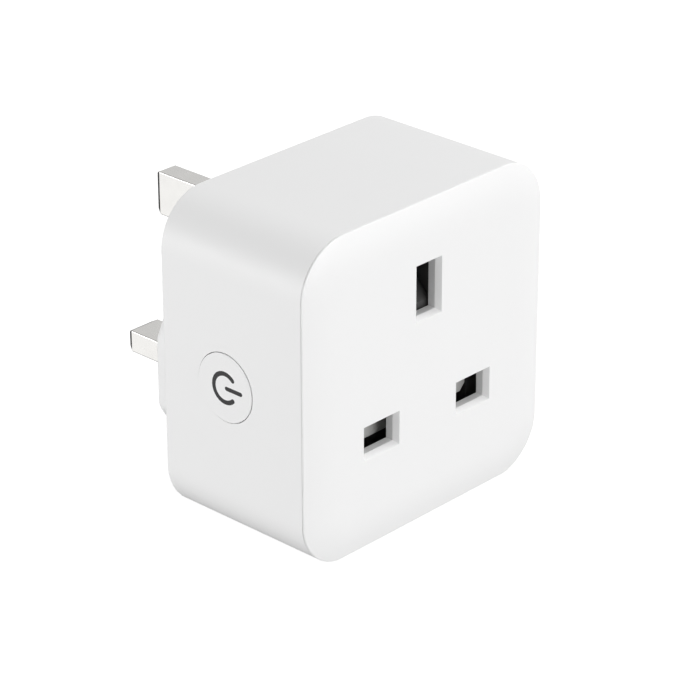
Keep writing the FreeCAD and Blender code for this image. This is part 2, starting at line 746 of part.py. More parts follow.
def make_button_board():
    """The upright board that carries the switch, the light and the radio module."""
    board = block(BUTTON_BOARD_X, BUTTON_BOARD_DEPTH, BUTTON_BOARD_Z)
    depth, z = BUTTON_BOARD_NOTCH
    return board.cut(block(BUTTON_BOARD_X, (depth, BUTTON_BOARD_DEPTH[1]), (z, BUTTON_BOARD_Z[1])))


def make_status_light():
    """A small light beside the switch, behind the button."""
    x = (BUTTON_BOARD_X[0] - LIGHT_HEIGHT, BUTTON_BOARD_X[0])
    return block(x, LIGHT_DEPTH, span(BUTTON_Z, LIGHT_LENGTH))


# ---------------------------------------------------------------- shutter
def make_shutter_plate():
    """The light blade that closes the live and neutral holes, with its stem and tongue."""
    half = SHUTTER_HALF_WIDTH
    low, high = SHUTTER_Z
    cut_x, cut_z = SHUTTER_CORNER
    right = [
        (half - cut_x, low),
        (half, low + cut_z),
        (half, high),
        (STEM_GUSSET[0], high),
        (STEM_HALF_WIDTH, STEM_GUSSET[1]),
        (STEM_HALF_WIDTH, STEM_TOP),
        (TONGUE_HALF_WIDTH, STEM_TOP),
        (TONGUE_HALF_WIDTH, TONGUE_TOP),
    ]
    left = [(-x, z) for x, z in reversed(right)]
    return plate_y(right + left, SHUTTER_DEPTH)


def make_shutter_cam():
    """The dark ramp that an earth pin pushes down, socketed on the blade's tongue."""
    earth_pin_foot = EARTH_HEIGHT - EARTH_PIN[2] / 2
    top = earth_pin_foot + SHUTTER_TRAVEL - CAM_SLACK
    outline = [
        (CAM_NOSE[0], STEM_TOP),
        CAM_NOSE,
        (CAM_NOSE[0] + (top - CAM_NOSE[1]) / CAM_SLOPE, top),
        (CAM_BACK, top),
        (CAM_BACK, STEM_TOP),
    ]
    cam = plate_x(outline, span(0, 2 * STEM_HALF_WIDTH))
    tongue = block(span(0, 2 * TONGUE_HALF_WIDTH), SHUTTER_DEPTH, (STEM_TOP, TONGUE_TOP))
    return cam.cut(tongue)


def make_shutter_spring():
    """The coil spring that lifts the shutter, standing on the carrier's seat."""
    low = SPRING_SEAT_Z + SPRING_WIRE_R
    height = SHUTTER_Z[0] - SPRING_WIRE_R - low
    helix = Part.makeHelix(height / SPRING_TURNS, height, SPRING_R)
    section = Part.makeCircle(SPRING_WIRE_R, Vector(SPRING_R, 0, 0), Vector(0, 1, 0))
    coil = Part.Wire(helix).makePipeShell([Part.Wire(section)], True, True)
    middle = sum(SHUTTER_DEPTH) / 2
    coil.translate(Vector(0, front(middle), low))
    return coil


# ---------------------------------------------------------------- socket carrier and contacts
def carrier_solids():
    """The carrier's body, rails, lugs and the arm that the spring stands on."""
    depth = (CARRIER_FRONT, BOARD[0])
    rail_depth = (CAM_RAIL_FRONT, CARRIER_FRONT)
    foot = block(span(0, 2 * CARRIER_HALF_WIDTH), depth, (CARRIER_FOOT_Z, CARRIER_SHOULDER_Z))
    neck = block(span(0, 2 * CARRIER_NECK_HALF_WIDTH), depth, (CARRIER_SHOULDER_Z, CARRIER_TOP_Z))
    lintel = block(span(0, 2 * CAM_RAIL_X[1]), rail_depth, (WELL_CEILING_Z, CARRIER_TOP_Z))
    arm_x = span(0, 2 * SPRING_ARM_HALF_WIDTH)
    seat_low = SPRING_SEAT_Z - SPRING_SEAT_THICKNESS
    arm = block(arm_x, (CARRIER_FRONT, CARRIER_FRONT + CARRIER_WALL), (seat_low, CARRIER_FOOT_Z))
    seat = block(arm_x, (SPRING_SEAT_FRONT, CARRIER_FRONT), (seat_low, SPRING_SEAT_Z))
    side_rail = block(SIDE_RAIL_X, SIDE_RAIL_DEPTH, (CARRIER_FOOT_Z, CARRIER_SHOULDER_Z))
    cam_rail = block(CAM_RAIL_X, rail_depth, (CAM_RAIL_FOOT_Z, CARRIER_TOP_Z))
    lug = block((CARRIER_NECK_HALF_WIDTH, LUG_X), (BOARD[0] - LUG_THICKNESS, BOARD[0]), LUG_Z)
    return [foot, neck, lintel, arm, seat] + both_sides(side_rail) + both_sides(cam_rail) + both_sides(lug)


def carrier_cuts():
    """The cam's slot, and the throats, contact cavities and screw holes."""
    slot_x = span(0, 2 * CAM_RAIL_X[0])
    earth_z = span(EARTH_HEIGHT, EARTH_APERTURE[1])
    power_x = span(PIN_HALF_PITCH, POWER_APERTURE[0])
    lug_depth = (BOARD[0] - LUG_THICKNESS, BOARD[0])
    middle = [
        block(slot_x, (CARRIER_FRONT, CAM_SLOT_BACK), (CAM_SLOT_FOOT_Z, WELL_CEILING_Z)),
        block(span(0, EARTH_APERTURE[0]), (CAM_SLOT_BACK, BOARD[0]), earth_z),
        block(span(0, EARTH_CAVITY[0]), (CAM_SLOT_BACK + CARRIER_WALL, BOARD[0]),
              span(EARTH_HEIGHT, EARTH_CAVITY[1])),
    ]
    power_cavity = block(span(PIN_HALF_PITCH, POWER_CAVITY[0]), (CARRIER_FRONT + CARRIER_WALL, BOARD[0]),
                         span(0, POWER_CAVITY[1]))
    power_throat = block(power_x, (CARRIER_FRONT, BOARD[0]), span(0, POWER_APERTURE[1]))
    screw_hole = rod_y(TOP_POST[0], lug_depth, TOP_POST[1], SCREW_SHANK_R + SCREW_FIT)
    return middle + both_sides(power_cavity) + both_sides(power_throat) + both_sides(screw_hole)


def make_socket_carrier():
    """The dark moulding behind the shutter that holds the contacts."""
    carrier = joined(carrier_solids())
    for cut in carrier_cuts():
        carrier = carrier.cut(cut)
    return carrier


def jaw(mouth, back):
    """A pair of spring leaves with flared lips, as (across, depth) corners."""
    half = JAW_GAP / 2
    path = [
        (-half - JAW_FLARE, mouth),
        (-half, mouth + JAW_LIP),
        (-half, back),
        (half, back),
        (half, mouth + JAW_LIP),
        (half + JAW_FLARE, mouth),
    ]
    return folded(path, LEAF)


def make_power_contact(x):
    """A live or neutral socket contact, with a tail through the board."""
    outline = [(depth, z) for z, depth in jaw(*POWER_JAW)]
    leaves = plate_x(outline, span(x, POWER_LEAF_WIDTH))
    upper = (JAW_GAP / 2, JAW_GAP / 2 + LEAF)
    tail = block(span(x, TAIL_WIDTH), (POWER_JAW[1], TAIL_END), upper)
    return joined([leaves, tail])


def make_earth_contact():
    """The earth socket contact."""
    return plate_z(jaw(*EARTH_JAW), span(EARTH_HEIGHT, EARTH_LEAF_WIDTH))


def make_earth_link():
    """The stout bar that joins the earth contact to the earth pin."""
    first, last = EARTH_LINK_FEET
    near_width, far_width = EARTH_LINK_FOOT_WIDTHS
    metal = EARTH_LINK_METAL
    high = span(EARTH_HEIGHT, EARTH_LINK_HEIGHT)
    near_foot = block(span(0, near_width), (first, first + metal), high)
    web = block(span(0, metal), (first, last), high)
    far_foot = block(span(0, far_width), (last, last + metal), high)
    return joined([near_foot, web, far_foot])


# ---------------------------------------------------------------- main board and bars
def tail_slots(x, depth):
    """The slots round a contact's tail and a pin's tail, on one side."""
    middle = (JAW_GAP + LEAF) / 2
    contact = block(span(x, TAIL_WIDTH + SLOT_FIT), depth, span(middle, LEAF + SLOT_FIT))
    pin = block(span(x, PIN_TAIL[0] + SLOT_FIT), depth, span(0, PIN_TAIL[1] + SLOT_FIT))
    return contact, pin


def make_main_board():
    """The main circuit board, slotted for the pins, the contacts and the earth link."""
    board = rounded_prism(rectangle(BOARD_SIZE, BOARD_SIZE, BOARD_CORNER_R, CASE_CENTRE_Z), BOARD)
    link_slot_z = span(EARTH_HEIGHT, EARTH_LINK_HEIGHT + SLOT_FIT)
    board = board.cut(block(span(0, EARTH_LINK_METAL + SLOT_FIT), BOARD, link_slot_z))
    for x in (-PIN_HALF_PITCH, PIN_HALF_PITCH):
        for slot in tail_slots(x, BOARD):
            board = board.cut(slot)
    for x, z, _ in screw_posts():
        board = board.cut(rod_y(x, BOARD, z, SCREW_SHANK_R + SCREW_FIT))
    return board


def make_neutral_bar():
    """The short bar that joins the neutral contact to the neutral pin."""
    bar = block(span(-PIN_HALF_PITCH, NEUTRAL_BAR_WIDTH), BAR, NEUTRAL_BAR_Z)
    for slot in tail_slots(-PIN_HALF_PITCH, BAR):
        bar = bar.cut(slot)
    return bar


def make_live_contact_bar():
    """The bar from the live socket contact round to the relay."""
    bar = plate_y(LIVE_CONTACT_BAR_OUTLINE, BAR)
    for slot in tail_slots(PIN_HALF_PITCH, BAR):
        bar = bar.cut(slot)
    return bar


def make_live_pin_bar():
    """The bar from the live pin to the shunt resistor."""
    pin_slot = tail_slots(PIN_HALF_PITCH, BAR)[1]
    return plate_y(LIVE_PIN_BAR_OUTLINE, BAR).cut(pin_slot)


def make_shunt_resistor():
    """The metal bridge that the current is measured across."""
    left, right = SHUNT_X
    low = BAR[1]
    high = low + SHUNT_RISE
    top = SHUNT_FOOT + SHUNT_RAMP
    path = [
        (left, low),
        (left + SHUNT_FOOT, low),
        (left + top, high),
        (right - top, high),
        (right - SHUNT_FOOT, low),
        (right, low),
    ]
    return plate_z(folded(path, SHUNT_METAL), SHUNT_Z)


def make_shunt_pad():
    """The bar from the shunt resistor to the relay's moving contact."""
    return block(SHUNT_PAD_X, BAR, SHUNT_PAD_Z)


def screw(x, z, head_depth):
    """A pan-head screw driven towards the wall, with a cross recess."""
    head_front = head_depth - SCREW_HEAD
    head = rod_y(x, (head_front, head_depth), z, SCREW_HEAD_R)
    head = head.makeFillet(SCREW_HEAD_EDGE_R, edges_at_depth(head, head_front))
    shank = rod_y(x, (head_depth, SCREW_END), z, SCREW_SHANK_R)
    long, narrow = SCREW_RECESS
    recess_depth = (head_front, head_depth - SCREW_HEAD / 2)
    whole = joined([head, shank])
    for wide, tall in ((long, narrow), (narrow, long)):
        whole = whole.cut(block(span(x, wide), recess_depth, span(z, tall)))
    return whole


def make_board_screws():
    """Four screws: two through the carrier's lugs, two through the board alone."""
    screws = []
    for x, z, _ in screw_posts():
        through_lug = abs(x) < FOOT_POST[0]
        screws.append(screw(x, z, BOARD[0] - LUG_THICKNESS if through_lug else BOARD[0]))
    return group(screws)


# ---------------------------------------------------------------- relay
RELAY_MIDDLE_Z = sum(RELAY_Z) / 2
RELAY_ACROSS = span(RELAY_MIDDLE_Z, 2 * YOKE_HALF_WIDTH)


def make_relay_base():
    """The relay's base plate."""
    return block(RELAY_X, RELAY_BASE, RELAY_Z)


def make_relay_cover():
    """The relay's open-backed cover."""
    outer = block(RELAY_X, (RELAY_FRONT, RELAY_BASE[0]), RELAY_Z)
    inner = block((RELAY_X[0] + RELAY_WALL, RELAY_X[1] - RELAY_WALL),
                  (RELAY_FRONT + RELAY_WALL, RELAY_BASE[0]),
                  (RELAY_Z[0] + RELAY_WALL, RELAY_Z[1] - RELAY_WALL))
    return outer.cut(inner)


def make_relay_bobbin():
    """The spool that the relay's coil is wound on."""
    start, end = COIL_SPAN
    tube = rod_y(COIL_X, (start - BOBBIN_FLANGE, end + BOBBIN_FLANGE), RELAY_MIDDLE_Z, BOBBIN_TUBE_R)
    flanges = [rod_y(COIL_X, (start - BOBBIN_FLANGE, start), RELAY_MIDDLE_Z, BOBBIN_R),
               rod_y(COIL_X, (end, end + BOBBIN_FLANGE), RELAY_MIDDLE_Z, BOBBIN_R)]
    bore = rod_y(COIL_X, (start - BOBBIN_FLANGE, end + BOBBIN_FLANGE), RELAY_MIDDLE_Z, CORE_R)
    return joined([tube] + flanges).cut(bore)


def make_relay_coil():
    """The relay's copper winding."""
    winding = rod_y(COIL_X, COIL_SPAN, RELAY_MIDDLE_Z, COIL_R)
    return winding.cut(rod_y(COIL_X, COIL_SPAN, RELAY_MIDDLE_Z, BOBBIN_TUBE_R))


def pivot_ridge(radius):
    """A rod along the armature's pivot, which is the heel's inner front edge."""
    return rod_z(YOKE_HEEL_X[1], ARMATURE[1] + HEEL_GAP, RELAY_ACROSS, radius)


def make_relay_core():
    """The core with its pole face, and the yoke that carries the field back to the pivot."""
    yoke_back = RELAY_BASE[0]
    yoke_front = yoke_back - YOKE_METAL
    core = rod_y(COIL_X, (POLE[0], yoke_front), RELAY_MIDDLE_Z, CORE_R)
    pole = rod_y(COIL_X, POLE, RELAY_MIDDLE_Z, POLE_R)
    floor = block((YOKE_HEEL_X[0], ARMATURE_TIP_X), (yoke_front, yoke_back), RELAY_ACROSS)
    heel = block(YOKE_HEEL_X, (ARMATURE[1] + HEEL_GAP, yoke_back), RELAY_ACROSS)
    return joined([core, pole, floor, heel, pivot_ridge(PIVOT_R)])


def make_relay_armature():
    """The flap that the core pulls down, grooved where it rocks on the heel's ridge."""
    flap = block((YOKE_HEEL_X[0], ARMATURE_TIP_X), ARMATURE, RELAY_ACROSS)
    return flap.cut(pivot_ridge(PIVOT_R + PIVOT_FIT))


def make_moving_contact():
    """The springy blade on the armature, with its contact button."""
    across = span(RELAY_MIDDLE_Z, 2 * BLADE_HALF_WIDTH)
    blade = block((YOKE_HEEL_X[0], BLADE_TIP_X), BLADE, across)
    button = rod_y(CONTACT_X, MOVING_CONTACT, RELAY_MIDDLE_Z, CONTACT_R)
    return joined([blade, button])


def make_fixed_contact():
    """The fixed contact button on its strip, which runs down to the board."""
    across = span(RELAY_MIDDLE_Z, 2 * BLADE_HALF_WIDTH)
    strip_front, strip_back = FIXED_STRIP
    leg_x = (BLADE_TIP_X, BLADE_TIP_X + strip_back - strip_front)
    strip = block((CONTACT_X - CONTACT_R, leg_x[1]), FIXED_STRIP, across)
    leg = block(leg_x, (strip_front, RELAY_BASE[0]), across)
    button = rod_y(CONTACT_X, FIXED_CONTACT, RELAY_MIDDLE_Z, CONTACT_R)
    return joined([strip, leg, button])


# ---------------------------------------------------------------- power supply
def can_capacitor(x, z, radius, height):
    """An upright aluminium can with a groove near its foot and a rounded top."""
    top = BOARD[0] - height
    can = rod_y(x, (top, BOARD[0]), z, radius)
    can = can.makeFillet(CAN_EDGE_R, edges_at_depth(can, top))
    middle = Vector(x, front(BOARD[0] - CAN_GROOVE_UP), z)
    return can.cut(Part.makeTorus(radius + CAN_GROOVE_OUT, CAN_GROOVE_R, middle, Vector(0, 1, 0)))


def make_choke():
    """A drum choke: a waist between two flanges, filled by its winding."""
    x, z, radius, height = CHOKE
    top = BOARD[0] - height
    waist = rod_y(x, (top, BOARD[0]), z, CHOKE_WAIST_R)
    flanges = [rod_y(x, (top, top + CHOKE_FLANGE), z, radius),
               rod_y(x, (BOARD[0] - CHOKE_FLANGE, BOARD[0]), z, radius)]
    return joined([waist] + flanges)


def make_choke_winding():
    """The copper winding of the choke."""
    x, z, radius, height = CHOKE
    reach = (BOARD[0] - height + CHOKE_FLANGE, BOARD[0] - CHOKE_FLANGE)
    winding = rod_y(x, reach, z, radius - CHOKE_WINDING_INSET)
    return winding.cut(rod_y(x, reach, z, CHOKE_WAIST_R))


def make_film_capacitor():
    """The boxed suppression capacitor."""
    top = BOARD[0] - FILM_CAPACITOR_HEIGHT
    box = block(FILM_CAPACITOR_X, (top, BOARD[0]), FILM_CAPACITOR_Z)
    return box.makeFillet(FILM_CAPACITOR_EDGE_R, edges_at_depth(box, top))


def make_varistor():
    """The coated disc that clips surges, on two wire legs."""
    x, depth, z, radius, thickness = VARISTOR
    disc = rod_z(x, depth, span(z, thickness), radius)
    disc = disc.makeFillet(VARISTOR_EDGE_R, [edge for edge in disc.Edges if edge.Closed])
    legs = [rod_y(leg_x, (depth, BOARD[0]), z, WIRE_R) for leg_x in span(x, VARISTOR_LEG_PITCH)]
    return joined([disc] + legs)


def make_fusible_resistor():
    """The fusible resistor, standing on end, with its wire folded back to the board."""
    x, z, radius, length = RESISTOR
    foot = BOARD[0] - RESISTOR_STANDOFF
    head = foot - length
    over = head - RESISTOR_WIRE_RISE
    far_x = x + RESISTOR_WIRE_SPREAD
    body = rod_y(x, (head, foot), z, radius)
    body = body.makeFillet(RESISTOR_EDGE_R, [edge for edge in body.Edges if edge.Closed])
    wires = [
        rod_y(x, (foot - LAP, BOARD[0]), z, WIRE_R),
        rod_y(x, (over, head + LAP), z, WIRE_R),
        rod_x((x, far_x), over, z, WIRE_R),
        rod_y(far_x, (over, BOARD[0]), z, WIRE_R),
    ]
    return joined([body] + wires)


def make_bridge_rectifier():
    """The four-legged rectifier."""
    wide, height, long = BRIDGE_LEG
    body = block(BRIDGE_X, (BOARD[0] - BRIDGE_HEIGHT, BOARD[0] - BRIDGE_STANDOFF), BRIDGE_Z)
    legs = []
    for x in (BRIDGE_X[0] + BRIDGE_LEG_INSET, BRIDGE_X[1] - BRIDGE_LEG_INSET):
        for z in (BRIDGE_Z[0] - BRIDGE_LEG_OUT, BRIDGE_Z[1] + BRIDGE_LEG_OUT):
            legs.append(block(span(x, wide), (BOARD[0] - height, BOARD[0]), span(z, long)))
    return joined([body] + legs)


def chip(x, z, surface, outward):
    """A small eight-leg chip on a board face; outward is -1 on the front and 1 on the back."""
    wide, height, tall = CHIP
    foot, reach = CHIP_LEG
    body_depth = sorted((surface + outward * CHIP_STANDOFF, surface + outward * height))
    leg_depth = sorted((surface, surface + outward * height / 2))
    solids = [block(span(x, wide), body_depth, span(z, tall))]
    first = x - CHIP_LEG_PITCH * (CHIP_LEGS - 1) / 2
    for index in range(CHIP_LEGS):
        leg_x = span(first + index * CHIP_LEG_PITCH, foot)
        solids.append(block(leg_x, leg_depth, (z - tall / 2 - reach, z + tall / 2 + reach)))
    return joined(solids)


def make_supply_chip():
    """The chip that makes the low voltage."""
    return chip(SUPPLY_CHIP_AT[0], SUPPLY_CHIP_AT[1], BOARD[0], -1)


def make_meter_chip():
    """The chip that measures power."""
    return chip(METER_CHIP_AT[0], METER_CHIP_AT[1], BOARD[1], 1)


# ---------------------------------------------------------------- radio
def make_radio_module():
    """The radio module's own small board."""
    return block(MODULE_X, MODULE_DEPTH, MODULE_Z)


def make_radio_shield():
    """The tinned can over the radio chip."""
    can = block(SHIELD_X, SHIELD_DEPTH, SHIELD_Z)
    rim = [edge for edge in can.Edges if edge.BoundBox.XMax < SHIELD_X[0] + NEAR]
    can = can.makeFillet(SHIELD_EDGE_R, rim)
    metal = SHIELD_METAL
    inside = block((SHIELD_X[0] + metal, SHIELD_X[1]),
                   (SHIELD_DEPTH[0] + metal, SHIELD_DEPTH[1] - metal),
                   (SHIELD_Z[0] + metal, SHIELD_Z[1] - metal))
    return can.cut(inside)


def make_antenna_trace():
    """The copper meander at the module's free end."""
    x = (MODULE_X[0] - TRACE_THICKNESS, MODULE_X[0])
    near, far = TRACE_DEPTH
    low, high = MODULE_Z[0] + TRACE_MARGIN, MODULE_Z[1] - TRACE_MARGIN
    pitch = (high - low - TRACE_WIDTH) / (TRACE_RUNS - 1)
    runs = []
    for index in range(TRACE_RUNS):
        z = low + index * pitch
        runs.append(block(x, (near, far), (z, z + TRACE_WIDTH)))
        if index < TRACE_RUNS - 1:
            end = (near, near + TRACE_WIDTH) if index % 2 else (far - TRACE_WIDTH, far)
            runs.append(block(x, end, (z, z + pitch + TRACE_WIDTH)))
    return joined(runs)


def make_board_header():
    """The row of pins that joins the button board to the main board."""
    top = BOARD[0] - HEADER_HEIGHT
    low = HEADER_Z - HEADER_PITCH / 2
    solids = [block(HEADER_X, (top, BOARD[0]), (low, low + HEADER_PINS * HEADER_PITCH))]
    pin_x = span(sum(HEADER_X) / 2, HEADER_PIN)
    for index in range(HEADER_PINS):
        z = HEADER_Z + index * HEADER_PITCH
        solids.append(block(pin_x, (top - HEADER_PIN_UP, top + LAP), span(z, HEADER_PIN)))
    return joined(solids)


# ---------------------------------------------------------------- the whole plug
def make_all():
    """Every node's name and shape."""
    return {
        "front_cover": make_front_cover(),
        "body_casing": make_body_casing(),
        "rear_base": make_rear_base(),
        "earth_pin": make_earth_pin(),
        "live_pin": make_power_pin(PIN_HALF_PITCH),
        "neutral_pin": make_power_pin(-PIN_HALF_PITCH),
        "live_pin_sleeve": make_pin_sleeve(PIN_HALF_PITCH),
        "neutral_pin_sleeve": make_pin_sleeve(-PIN_HALF_PITCH),
        "power_button": make_power_button(),
        "power_mark": make_power_mark(),
        "switch_body": make_switch_body(),
        "switch_plunger": make_switch_plunger(),
        "button_board": make_button_board(),
        "status_light": make_status_light(),
        "shutter_plate": make_shutter_plate(),
        "shutter_cam": make_shutter_cam(),
        "shutter_spring": make_shutter_spring(),
        "socket_carrier": make_socket_carrier(),
        "live_contact": make_power_contact(PIN_HALF_PITCH),
        "neutral_contact": make_power_contact(-PIN_HALF_PITCH),
        "earth_contact": make_earth_contact(),
        "earth_link": make_earth_link(),
        "main_board": make_main_board(),
        "neutral_bar": make_neutral_bar(),
        "live_contact_bar": make_live_contact_bar(),
        "live_pin_bar": make_live_pin_bar(),
        "shunt_resistor": make_shunt_resistor(),
        "shunt_pad": make_shunt_pad(),
        "board_screws": make_board_screws(),
        "relay_base": make_relay_base(),
        "relay_cover": make_relay_cover(),
        "relay_bobbin": make_relay_bobbin(),
        "relay_coil": make_relay_coil(),
        "relay_core": make_relay_core(),
        "relay_armature": make_relay_armature(),
        "relay_moving_contact": make_moving_contact(),
        "relay_fixed_contact": make_fixed_contact(),
        "input_capacitor": can_capacitor(*INPUT_CAPACITOR),
        "output_capacitor": can_capacitor(*OUTPUT_CAPACITOR),
        "choke_core": make_choke(),
        "choke_winding": make_choke_winding(),
        "film_capacitor": make_film_capacitor(),
        "varistor": make_varistor(),
        "fusible_resistor": make_fusible_resistor(),
        "bridge_rectifier": make_bridge_rectifier(),
        "supply_chip": make_supply_chip(),
        "meter_chip": make_meter_chip(),
        "radio_module": make_radio_module(),
        "radio_shield": make_radio_shield(),
        "antenna_trace": make_antenna_trace(),
        "board_header": make_board_header(),
    }


def export(nodes):
    """Writes each node to its own STEP file."""
    os.makedirs("parts", exist_ok=True)
    for name, shape in nodes.items():
        shape.exportStep(os.path.join("parts", name + ".step"))
        print(f"{name}: {len(shape.Solids)} solids, {shape.Volume:.2f} cubic mm, valid {shape.isValid()}")


export(make_all())
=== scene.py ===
import json
import math

import bmesh
import bpy
from mathutils import Matrix, Vector


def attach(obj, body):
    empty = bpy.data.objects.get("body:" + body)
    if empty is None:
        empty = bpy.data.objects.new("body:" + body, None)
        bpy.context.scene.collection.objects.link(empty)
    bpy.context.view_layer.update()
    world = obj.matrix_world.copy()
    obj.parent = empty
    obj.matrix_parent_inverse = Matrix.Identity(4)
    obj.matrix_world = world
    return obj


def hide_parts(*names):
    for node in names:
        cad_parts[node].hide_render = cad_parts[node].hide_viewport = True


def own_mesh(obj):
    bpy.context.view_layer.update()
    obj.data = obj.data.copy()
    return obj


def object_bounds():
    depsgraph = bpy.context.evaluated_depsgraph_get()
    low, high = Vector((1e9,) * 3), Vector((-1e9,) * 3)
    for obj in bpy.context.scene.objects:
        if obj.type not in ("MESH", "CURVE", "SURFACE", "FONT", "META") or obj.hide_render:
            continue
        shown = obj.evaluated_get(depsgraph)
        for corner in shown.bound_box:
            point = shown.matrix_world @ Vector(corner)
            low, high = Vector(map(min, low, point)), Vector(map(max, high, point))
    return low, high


# The looks of the smart plug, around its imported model. Metres, in the row frame: seen from the
# socket side +X is to the right, +Y runs into the wall and +Z is up.

MM = 0.001

# ---------------------------------------------------------------- camera
CAMERA_AIM = Vector((-5.41, -26.17, 9.29)) * MM
CAMERA_AZIMUTH = -46.821
CAMERA_ELEVATION = 25.791
CAMERA_ROLL = -0.107
CAMERA_DISTANCE = 506.86 * MM
CAMERA_LENS = 159.69
CAMERA_SENSOR = 36.0
CLIP_NEAR = 0.01
CLIP_FAR = 20.0

# ---------------------------------------------------------------- circuit boards
TRACK_PITCH = 0.9 * MM
TRACK_BLOCK = 5.5 * MM
WEAVE_PITCH = 0.9 * MM
WAVE_UNIT = 20.0                # a wave texture's bands repeat 20 / tau times in a unit, at scale 1
TRACK_EDGES = (0.74, 0.86)      # levels of the wave where a track begins and is full
UPRIGHT_SHARE = 0.5             # blocks whose tracks run upright
BARE_SHARE = 0.4                # blocks without tracks
EDGE_SOFTNESS = 0.01            # half the width of the step at a threshold
WEAVE_HEIGHT = 0.12             # of a track's height

# ---------------------------------------------------------------- metal grain
# factors on the coordinates, which draw a texture out along one axis
ALONG_Y = (1.0, 0.05, 1.0)
ALONG_Z = (1.0, 1.0, 0.05)
ROLLED_ALONG_Z = (1.0, 1.0, 0.12)

# ---------------------------------------------------------------- wound pieces
HELIX_STEPS = 32                # points in one turn
WIRE_SIDES = 8
TURN_PITCH = 1.06               # wire diameters from one turn to the next
END_INSET = 0.6                 # wire diameters from a winding's end to its first turn
# x and z of the middle, inner and outer radius, reach along Y, wire diameter
RELAY_WINDING = ((-3.4 * MM, -11.95 * MM), 1.8 * MM, 3.4 * MM, (-23.6 * MM, -16.1 * MM), 0.22 * MM)
CHOKE_WINDING = ((21.6 * MM, 19.0 * MM), 2.6 * MM, 3.5 * MM, (-21.3 * MM, -14.4 * MM), 0.45 * MM)
SPRING_MIDDLE = (0.0, -32.8 * MM)       # x and y
SPRING_RADIUS = 1.1 * MM
SPRING_WIRE_RADIUS = 0.15 * MM
SPRING_TURNS = 8
SPRING_SEAT = -14.8 * MM
SPRING_HEAD = -2.55 * MM

# ---------------------------------------------------------------- studio
SKY_LEVEL = 0.44
FLOOR_ALBEDO = 0.3
FLOOR_GLOW = 0.86
FLOOR_ROUGHNESS = 0.9
FLOOR_REACH = 6.0
LIGHT_DISTANCE = 1.1
# name: azimuth and elevation in degrees, width and height in metres, power in watts
SOFTBOXES = {
    "key_light": (8.0, 5.0, 0.9, 0.6, 10.7),
    "side_light": (-110.0, 5.0, 1.1, 0.3, 6.6),
    "top_light": (85.0, 50.0, 0.6, 0.6, 6.0),
}
# name: azimuth and elevation in degrees, half angles where it is full and where it ends, level
SKY_PATCHES = {
    "back_wall": (133.0, 24.0, 22.0, 50.0, 0.74),
    "dark_corner": (160.0, -32.0, 26.0, 58.0, 0.06),
    "side_card": (-133.0, -24.0, 14.0, 34.0, 1.15),
}


# ---------------------------------------------------------------- node helpers
class Look:
    """A material with its surface shader and the coordinates that its textures share."""

    def __init__(self, name, **sockets):
        self.material = bpy.data.materials.new(name)
        self.material.use_nodes = True
        self.tree = self.material.node_tree
        self.shader = next(n for n in self.tree.nodes if n.type == "BSDF_PRINCIPLED")
        self.place = self.tree.nodes.new("ShaderNodeTexCoord").outputs["Object"]
        for socket, value in sockets.items():
            self.shader.inputs[socket.replace("_", " ")].default_value = value

    def node(self, kind, inputs=None, **settings):
        """A new node, with its settings and its inputs as values or links."""
        node = self.tree.nodes.new(kind)
        for name, value in settings.items():
            setattr(node, name, value)
        for name, value in (inputs or {}).items():
            self.feed(node.inputs[name], value)
        return node

    def feed(self, socket, value):
        """A value or another node's output, into a socket."""
        if isinstance(value, bpy.types.NodeSocket):
            self.tree.links.new(value, socket)
        else:
            socket.default_value = value

    def noise(self, grain, detail=2.0, rough=0.5, place=None):
        """Noise whose features are a grain wide, in metres."""
        inputs = {"Vector": place or self.place, "Scale": 1.0 / grain,
                  "Detail": detail, "Roughness": rough}
        return self.node("ShaderNodeTexNoise", inputs).outputs["Fac"]

    def stretched(self, factors):
        """The coordinates, scaled by a factor each way."""
        node = self.node("ShaderNodeMapping", {"Vector": self.place})
        node.inputs["Scale"].default_value = factors
        return node.outputs["Vector"]

    def span(self, value, low, high, start=0.0, end=1.0):
        """A value spread from one range to another."""
        inputs = {"Value": value, "From Min": start, "From Max": end, "To Min": low, "To Max": high}
        return self.node("ShaderNodeMapRange", inputs).outputs["Result"]

    def blend(self, factor, first, second):
        """Two colours mixed by a factor."""
        node = self.node("ShaderNodeMix", data_type="RGBA")
        self.feed(node.inputs[0], factor)
        self.feed(node.inputs[6], first)
        self.feed(node.inputs[7], second)
        return node.outputs[2]

    def colour(self, value):
        self.feed(self.shader.inputs["Base Color"], value)

    def roughness(self, value):
        self.feed(self.shader.inputs["Roughness"], value)

    def above(self, value, threshold):
        """1 where a value is above a threshold, and 0 below it."""
        return self.span(value, 0.0, 1.0, threshold - EDGE_SOFTNESS, threshold + EDGE_SOFTNESS)

    def relief(self, height, depth):
        """Bump from a height, in metres of depth."""
        inputs = {"Height": height, "Distance": depth, "Strength": 1.0}
        bump = self.node("ShaderNodeBump", inputs)
        self.feed(self.shader.inputs["Normal"], bump.outputs["Normal"])


def rgb(red, green, blue):
    return (red, green, blue, 1.0)


def shade(colour, factor):
    """A colour made lighter or darker."""
    return (colour[0] * factor, colour[1] * factor, colour[2] * factor, 1.0)


WHITE = rgb(1.0, 1.0, 1.0)


# ---------------------------------------------------------------- materials
def moulded(name, colour, rough, grain=0.35 * MM, depth=0.004 * MM, drift=0.02):
    """Moulded plastic: a fine spark-eroded texture and a slow drift of colour and gloss."""
    look = Look(name, IOR=1.47)
    slow = look.noise(14 * MM, 3.0)
    fine = look.noise(grain, 3.0, 0.6)
    look.colour(look.blend(slow, shade(colour, 1.0 - drift), shade(colour, 1.0 + drift)))
    look.roughness(look.span(look.noise(2.5 * MM, 4.0), rough * 0.88, rough * 1.12))
    look.relief(fine, depth)
    return look.material


